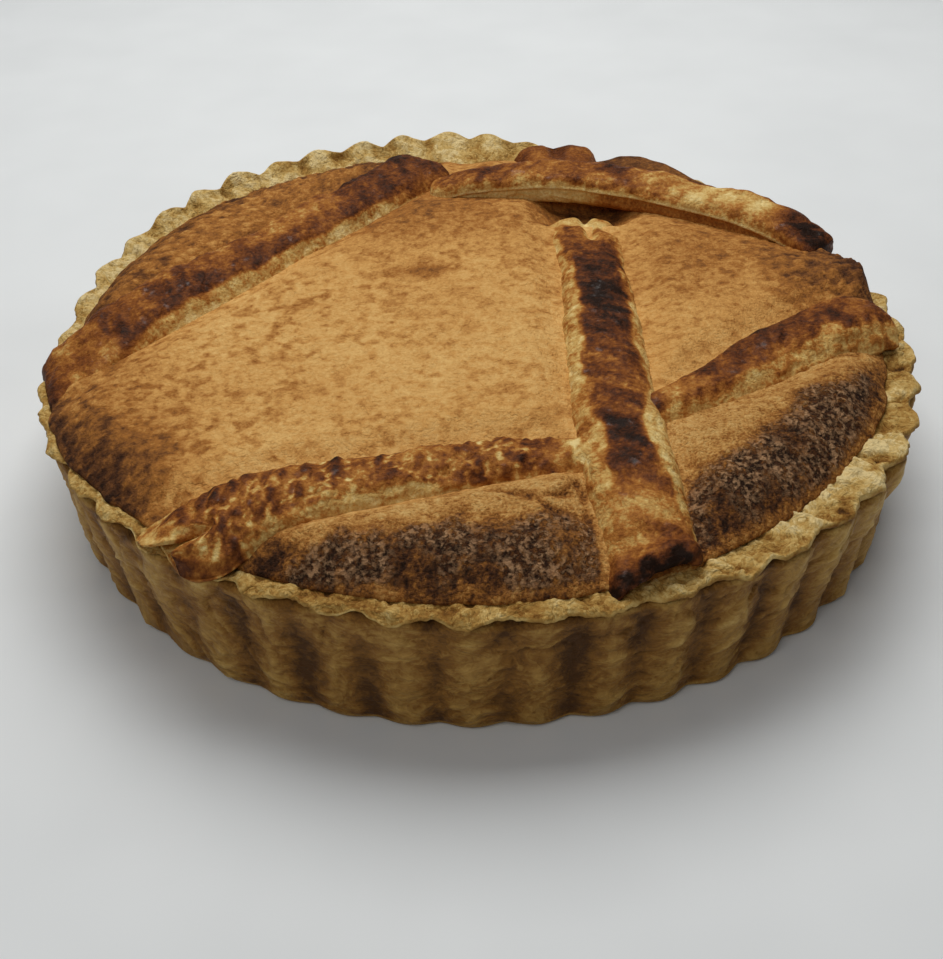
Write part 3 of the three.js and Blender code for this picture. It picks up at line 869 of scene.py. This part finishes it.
# Long strip
# The strip that runs from front to back, its far end split in two tips under the strip that crosses it.
# Baked darkest of all along its middle, with pale flaky edges and a burnt end rolled over the front rim.
def split_and_roll(places, marks, flow, lateral, depth):
    """Drops the far end under the crossing strip behind two tips, and rolls the burnt end over the rim."""
    y = places[..., 1].copy()
    under_top = smooth((8.5 - depth) / 4)
    tip = 44 - 0.35 * lateral
    fall = smooth((y - tip) / 5) * smooth((96 - y) / 10)
    pit = smooth((y - 54) / 7) * smooth((92 - y) / 8)
    notch = np.exp(-(((lateral - 1.5) / 1.7) ** 2)) * smooth((y - 32) / 9) * smooth((60 - y) / 5)
    knobs = np.exp(-(((lateral - 0.5) / 3) ** 2)) * smooth((y - 98) / 6)
    places[..., 2] -= (1.6 * fall + 6 * pit + 2.4 * notch + 2.6 * knobs) * under_top
    # The dropped far end is pale dough, darkened in the pit under the crossing strip as painted shade.
    rebake(marks, fall, 0.24 + 0.3 * (clouds(places, 3, 224) - 0.5) + 0.2 * pit)
    marks["bake"][:] = marks["bake"] - 0.4 * notch
    rebake(marks, smooth((y - 90) / 6), 0.62 + 0.4 * (clouds(places, 4, 222) - 0.5))
    end = smooth((14 - flow) / 14)
    places[..., 1] += 0.32 * (lateral - 2) * end
    roll = 1.8 * np.exp(-(((flow - 3) / 3) ** 2)) * smooth((6 - depth) / 3)
    places[..., 2] += roll - 3.5 * end * smooth((2 - lateral) / 10)
    lower = smooth((7 - flow) / 7) * smooth((depth - 4) / 1.5)
    places[..., 1] += 2.5 * lower
    rebake(marks, lower, 0.26 + 0.4 * (clouds(places, 2.5, 223) - 0.5))
    burnt = smooth((3 - flow + 3 * clouds(places, 3, 220)) / 2.5) * smooth((5.2 - depth) / 1)
    rebake(marks, burnt, 0.94 + 0.7 * (clouds(places, 2, 221) - 0.5))
    places[..., 2] += 1.6 * burnt * (clouds(places, 2.4, 225) - 0.5)
    places[..., 1] += 1.2 * burnt * (clouds(places, 2, 226) - 0.5)


ribbon(
    "strip_long", seed=200, corner=0.7, splay=(0.4, 0.4),
    glaze=0.67, mottle=0.2, flecks=0.12, cream=0.27,
    pale_edges=(
        [0, 0.5, 0.7, 0.3, 0.5, 0.5, 0.4, 0.35, 0.2, 0.1, 0],
        [0, 0.35, 0.7, 0.2, 0.35, 0.3, 0.25, 0.3, 0.2, 0.1, 0],
    ),
    soft=0.28, torn=0.22,
    burns=[
        (35, 18, 9, 0.22), (34, 2, 10, 0.28), (35, -16, 9, 0.24), (33, -46, 10, -0.06), (35, -66, 11, 0.28),
        (38, -82, 6, 0.1), (32, -94, 10, -0.36), (30, 42, 5, 0.05), (41, 38, 6, -0.15),
    ],
    slant=0.35, ridges=0.4, hollow=8, form=split_and_roll,
)


# Strip at the back right
# A curved strip that bridges the long one and ends burnt at the right rim.
# Its front shows the two layers of dough one over the other.
def two_layers(places, marks, flow, lateral, depth):
    """Sets the lower layer of the front side back and parts the two with a pale line."""
    front = smooth((lateral - 4) / 2)
    lower = front * smooth((depth - 4) / 0.5)
    seam = front * np.exp(-(((depth - 3.8) / 0.5) ** 2))
    places[..., 1] += 0.9 * lower
    rebake(marks, lower, 0.16 + 0.32 * smooth((flow - 50) / 10))
    rebake(marks, seam, 0.06)
    outer_edge = smooth((-lateral - 4) / 3) * smooth((flow - 55) / 15)
    rebake(marks, outer_edge, 0.75 + 0.3 * (clouds(places, 2, 320) - 0.5))
    thin = smooth((14 - flow) / 12)
    places[..., 2] += 3.5 * thin * smooth((depth - 4) / 3) - 1.5 * thin


ribbon(
    "strip_back_right", seed=300, corner=0.6, splay=(0.1, 0.3),
    glaze=0.52, mottle=0.22, flecks=0.1, cream=0.27,
    pale_edges=([0.12, 0.05, 0.05, 0.05, 0], [0.24, 0.2, 0.24, 0.24, 0.2, 0]), soft=0.3, torn=0.3,
    burns=[
        (-3, 86, 7, 0.22), (8, 82, 8, 0.22), (30, 76, 10, 0.08), (46, 75, 7, 0.2), (70, 62, 13, -0.3),
        (86, 50, 9, -0.3), (98, 40, 6, 0.4), (104, 31, 7, 0.5),
    ],
    slant=0.5, ridges=0.3, form=two_layers,
)


# Strip at the right
# A short strip from the long one to the right rim, narrow at first, its outer end rolled and lifted.
# Glazed dark along its far edge and flaky gold along the near one.
def lifted_end(places, marks, flow, lateral, depth):
    """Lifts the outer end clear of the rim."""
    places[..., 2] += 2 * smooth((flow - flow.max() + 18) / 14)


ribbon(
    "strip_right", seed=400, corner=0.7, splay=(0.2, 0.7),
    glaze=0.66, mottle=0.22, flecks=0.1, cream=0.35,
    pale_edges=([0.06, 0.04, 0.04, 0], [0.5, 0.5, 0.55, 0.7, 0.2]), soft=0.4, torn=0.4,
    burns=[
        (60, -36, 7, 0.12), (76, -22, 7, 0.2), (90, -10, 7, 0.14), (104, -4, 8, -0.05), (48, -46, 6, -0.12),
    ],
    slant=0.7, ridges=0.35, form=lifted_end,
)


# Strip at the front
# The strip from the left front rim to the long one, wrinkled across while it baked and mottled brown.
# Its near end is frayed, pale and hollow, its far end thin where it tucks under the long strip.
def frayed_end(places, marks, flow, lateral, depth):
    """Draws the upper layer of the near end out to a pale beak, tears a notch beside it and lets the front
    corner sag onto the ledge."""
    end = smooth((9 - flow) / 9)
    beak = end * smooth((4 - depth) / 2) * smooth((1 - lateral) / 7)
    blunt = 0.6 * np.maximum(lateral, 0) * np.clip(1 - flow / 11, 0, 1) ** 2
    notch = np.exp(-(((lateral - 2) / 2.6) ** 2)) * smooth((7 - depth) / 2) * smooth((13 - flow) / 13)
    places[..., 0] += 6 * notch - 0.54 * blunt - 4.5 * beak
    places[..., 1] += 3.6 * notch + 0.84 * blunt - 1.5 * beak
    places[..., 2] -= 2 * smooth((16 - flow) / 14) * smooth((lateral - 1) / 9) * smooth((8 - depth) / 3)
    places[..., 2] -= 3 * beak + 1.5 * notch
    pale = smooth((6 - flow + 4 * (clouds(places, 2.5, 520) - 0.5)) / 4) * smooth((3 - lateral) / 5)
    pale = np.maximum(pale, smooth((notch - 0.3) / 0.4))
    rebake(marks, pale, 0.3 + 0.5 * (clouds(places, 1.5, 521) - 0.5))


ribbon(
    "strip_front", seed=500, corner=0.85, splay=(0.1, 0.4),
    glaze=0.61, mottle=0.22, flecks=0.28, cream=0.25,
    pale_edges=([0.08, 0.06, 0.06, 0.06], [0, 0, 0.3, 0.3, 0.15, 0.08, 0.08, 0.3]), soft=0.35, torn=0.4,
    burns=[
        (-60, -82, 6, 0.16), (-48, -78, 6, 0.12), (-2, -66, 6, 0.16), (12, -68, 6, 0.12),
        (24, -69, 6, -0.4),
    ],
    slant=0.4, ridges=0.9, grain=0.55, hollow=5, form=frayed_end,
)


# Floor, light and camera
# A plain pale floor that sweeps up behind, one large soft light from above and behind, a weak fill in
# front, and the camera where the photograph was taken from. Lengths here are in metres.
floor_half_width = 2
floor_half_length = 1.4
floor_start = -0.9
sweep_start = 1.7
sweep_radius = 0.5
bpy.ops.object.select_all(action="DESELECT")
bpy.ops.mesh.primitive_grid_add(x_subdivisions=2, y_subdivisions=60, size=2)
floor = bpy.context.object
floor.name = "floor"
for vertex in floor.data.vertices:
    travel = (vertex.co.y + 1) * floor_half_length
    bend = min(max((travel - sweep_start) / sweep_radius, 0), math.pi / 2)
    rest = max(travel - sweep_start - sweep_radius * math.pi / 2, 0)
    vertex.co.x = vertex.co.x * floor_half_width
    vertex.co.y = min(travel, sweep_start) + floor_start + sweep_radius * math.sin(bend)
    vertex.co.z = sweep_radius * (1 - math.cos(bend)) + rest
bpy.ops.object.shade_smooth()
paper = Finish("pale floor")
floor.data.materials.append(paper.finish({
    "Base Color": paper.ramp(paper.speckle(60, 2), [
        (0.3, paint(227, 231, 233)),
        (0.7, paint(232, 236, 238)),
    ]),
    "Roughness": 0.9,
    "Specular IOR Level": 0.1,
}))


def soft_light(name, place, aim, size, power, colour):
    """A square area light at a place, turned towards its aim."""
    lamp = bpy.data.lights.new(name, "AREA")
    lamp.size = size
    lamp.energy = power
    lamp.color = colour
    holder = bpy.data.objects.new(name, lamp)
    bpy.context.scene.collection.objects.link(holder)
    holder.location = place
    heading = Vector(place) - Vector(aim)
    holder.rotation_euler = heading.to_track_quat("Z", "Y").to_euler()


soft_light("soft light above", (-0.02, 0.35, 0.8), (0, 0, 0.03), 0.7, 6.2, (1, 0.98, 0.95))
soft_light("weak fill", (-0.25, -0.6, 0.75), (0, 0, 0.03), 0.4, 1.4, (1, 0.98, 0.95))
world = bpy.data.worlds.new("soft surroundings")
bpy.context.scene.world = world
world.use_nodes = True
world.node_tree.nodes["Background"].inputs["Color"].default_value = (0.97, 0.98, 1, 1)
world.node_tree.nodes["Background"].inputs["Strength"].default_value = 0.13
bpy.context.scene.view_settings.view_transform = "Standard"

camera_tilt = math.radians(37.51)
camera_roll = math.radians(-1.49)
focal_pixels = 1300
picture_height = 959
sensor_height = 36
lens = bpy.data.cameras.new("camera")
lens.sensor_fit = "VERTICAL"
lens.sensor_height = sensor_height
lens.lens = focal_pixels * sensor_height / picture_height
camera = bpy.data.objects.new("camera", lens)
bpy.context.scene.collection.objects.link(camera)
camera.location = (-2.12 * MM, -313.43 * MM, 225.66 * MM)
camera.rotation_euler = Euler((math.pi / 2 - camera_tilt, 0, camera_roll), "ZYX").to_matrix().to_euler()
bpy.context.scene.camera = camera
